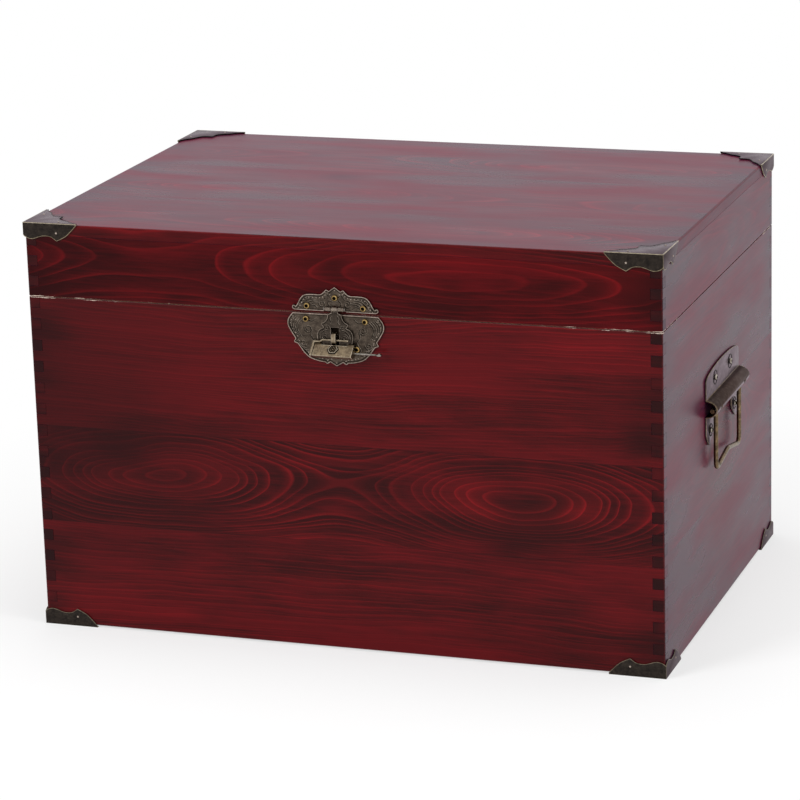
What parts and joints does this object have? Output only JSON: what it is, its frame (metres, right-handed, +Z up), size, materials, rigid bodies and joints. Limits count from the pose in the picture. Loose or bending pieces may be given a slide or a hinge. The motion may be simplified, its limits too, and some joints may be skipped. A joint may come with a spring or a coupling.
{
  "type": "wooden storage box",
  "caption": "Rectangular wooden storage box with finger-jointed corners, hinged lid, stamped corner plates, hasp with spring padlock and side bail handles.",
  "frame": {"origin": "on the floor, in the middle of the whole footprint", "axes": "+X to the right along the width, +Y from the hasp towards the rear hinges, +Z up"},
  "size_m": [0.4738, 0.3362, 0.2942],
  "materials": {
    "varnished_wood": "pine stained red mahogany under a gloss varnish",
    "bare_wood": "plain unfinished wood",
    "bronze": "antique bronze plating, worn bright on folds and rims",
    "lock_brass": "aged brass, rims rubbed bright",
    "screw_brass": "aged brass plating",
    "pin_steel": "plain wire, slightly dulled"
  },
  "bodies": {
    "base": {"base_front_board": "varnished_wood", "base_back_board": "varnished_wood", "base_left_board": "varnished_wood", "base_right_board": "varnished_wood", "bottom_panel": "bare_wood", "base_corner_front_left": "bronze", "base_corner_front_right": "bronze", "base_corner_rear_left": "bronze", "base_corner_rear_right": "bronze", "handle_plate_left": "bronze", "handle_plate_right": "bronze", "handle_screw_left_lower_front": "screw_brass", "handle_screw_left_lower_rear": "screw_brass", "handle_screw_left_upper_front": "screw_brass", "handle_screw_left_upper_rear": "screw_brass", "handle_screw_right_lower_front": "screw_brass", "handle_screw_right_lower_rear": "screw_brass", "handle_screw_right_upper_front": "screw_brass", "handle_screw_right_upper_rear": "screw_brass", "hasp_lower_plate": "bronze", "hasp_screw_lower_left": "screw_brass", "hasp_screw_lower_right": "screw_brass", "hasp_screw_foot_left": "screw_brass", "hasp_screw_foot_right": "screw_brass", "staple": "bronze", "hinge_left_base_leaf": "bronze", "hinge_left_base_leaf_screw_a": "screw_brass", "hinge_left_base_leaf_screw_b": "screw_brass", "hinge_left_pin": "pin_steel", "hinge_right_base_leaf": "bronze", "hinge_right_base_leaf_screw_a": "screw_brass", "hinge_right_base_leaf_screw_b": "screw_brass", "hinge_right_pin": "pin_steel"},
    "lid": {"lid_front_board": "varnished_wood", "lid_back_board": "varnished_wood", "lid_left_board": "varnished_wood", "lid_right_board": "varnished_wood", "lid_top_panel": "varnished_wood", "lid_corner_front_left": "bronze", "lid_corner_front_right": "bronze", "lid_corner_rear_left": "bronze", "lid_corner_rear_right": "bronze", "hasp_upper_plate": "bronze", "hasp_pin": "pin_steel", "hasp_screw_upper_left": "screw_brass", "hasp_screw_upper_crest": "screw_brass", "hasp_screw_upper_right": "screw_brass", "hinge_left_lid_leaf": "bronze", "hinge_left_lid_leaf_screw_a": "screw_brass", "hinge_left_lid_leaf_screw_b": "screw_brass", "hinge_right_lid_leaf": "bronze", "hinge_right_lid_leaf_screw_a": "screw_brass", "hinge_right_lid_leaf_screw_b": "screw_brass"},
    "tongue": {"hasp_tongue": "bronze"},
    "padlock": {"padlock_body": "lock_brass"},
    "bolt": {"padlock_bolt": "lock_brass"},
    "key": {"padlock_key": "pin_steel"},
    "left_bail": {"bail_left": "bronze"},
    "right_bail": {"bail_right": "bronze"}
  },
  "joints": [
    {"name": "lid_hinge", "type": "hinge", "parent": "base", "child": "lid", "pos_m": [0, 0.16612, 0.2411], "axis": [-1, 0, 0], "range_deg": [0, 110]},
    {"name": "tongue_hinge", "type": "hinge", "parent": "lid", "child": "tongue", "pos_m": [0, -0.15877, 0.2449], "axis": [-1, 0, 0], "range_deg": [-28, 160]},
    {"name": "padlock_swing", "type": "hinge", "parent": "base", "child": "padlock", "pos_m": [0, -0.16068, 0.22375], "axis": [-1, 0, 0], "range_deg": [0, 75]},
    {"name": "bolt_slide", "type": "slide", "parent": "padlock", "child": "bolt", "axis": [-1, 0, 0], "range_m": [0, 0.024]},
    {"name": "key_slide", "type": "slide", "parent": "padlock", "child": "key", "axis": [1, 0, 0], "range_m": [-0.006, 0.004]},
    {"name": "left_bail_hinge", "type": "hinge", "parent": "base", "child": "left_bail", "pos_m": [-0.2322, 0.00382, 0.1548], "axis": [0, 1, 0], "range_deg": [0, 90]},
    {"name": "right_bail_hinge", "type": "hinge", "parent": "base", "child": "right_bail", "pos_m": [0.2322, 0.00382, 0.1548], "axis": [0, -1, 0], "range_deg": [0, 90]}
  ],
  "couplings": [
    {"joint": "tongue_hinge", "follows": "lid_hinge", "ratio": -0.25}
  ]
}
